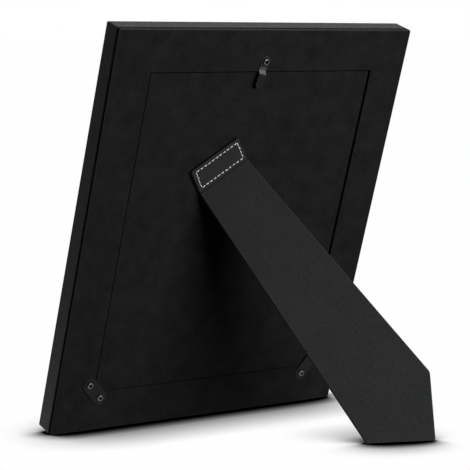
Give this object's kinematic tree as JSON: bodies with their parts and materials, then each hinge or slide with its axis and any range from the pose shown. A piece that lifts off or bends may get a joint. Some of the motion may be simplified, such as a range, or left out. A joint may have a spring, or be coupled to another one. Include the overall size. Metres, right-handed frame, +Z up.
{
  "type": "easel back photo frame",
  "caption": "Rectangular photo frame that stands on a folding easel leg, with a wrapped mitred moulding, glass, a back panel held by a turn button and corner plates.",
  "frame": {"origin": "on the table, under the middle of the standing frame's box", "axes": "+Z up from the table; the picture side faces -Y and leans back towards +Y, where the leg stands; +X to the right as seen from the picture side"},
  "size_m": [0.2698, 0.1984, 0.3102],
  "materials": {
    "moulding_board": "fibreboard core, cut edges",
    "moulding_wrap": "black leatherette, fine grain",
    "nail_steel": "bright steel",
    "black_backing_board": "fibreboard faced with matt black paper",
    "picture_glass": "clear polished sheet",
    "insert_paper": "plain uncoated card",
    "filler_board": "plain filler card",
    "hinge_cloth": "black woven lining",
    "leg_greyboard": "dense greyboard",
    "leg_leatherette": "black matt leatherette",
    "blackened_steel": "black finish, worn on the edges",
    "black_screws": "black finish, satin"
  },
  "bodies": {
    "frame": {"bottom_rail": "moulding_board", "bottom_rail_wrap": "moulding_wrap", "right_stile": "moulding_board", "right_stile_wrap": "moulding_wrap", "top_rail": "moulding_board", "top_rail_wrap": "moulding_wrap", "left_stile": "moulding_board", "left_stile_wrap": "moulding_wrap", "mitre_v_nails": "nail_steel", "back_ring": "black_backing_board", "glass_pane": "picture_glass", "picture_insert": "insert_paper", "filler_card": "filler_board", "easel_panel": "black_backing_board", "corner_plate_right": "blackened_steel", "corner_plate_left": "blackened_steel", "corner_plate_screws": "black_screws", "turn_button_screw": "black_screws", "flap_lining": "hinge_cloth", "flap_board": "leg_greyboard", "flap_cover": "leg_leatherette"},
    "leg": {"leg_lining": "hinge_cloth", "leg_board": "leg_greyboard", "leg_cover": "leg_leatherette"},
    "turn_button": {"turn_button": "blackened_steel"}
  },
  "joints": [
    {"name": "leg_hinge", "type": "hinge", "parent": "frame", "child": "leg", "pos_m": [0.0205, -0.02021, 0.19522], "axis": [-0.8241, 0.1729, 0.5394], "range_deg": [0, 41.4]},
    {"name": "turn_button_pivot", "type": "hinge", "parent": "frame", "child": "turn_button", "pos_m": [0.0021, 0.00802, 0.28152], "axis": [0, 0.9523, -0.3052], "continuous": true}
  ]
}
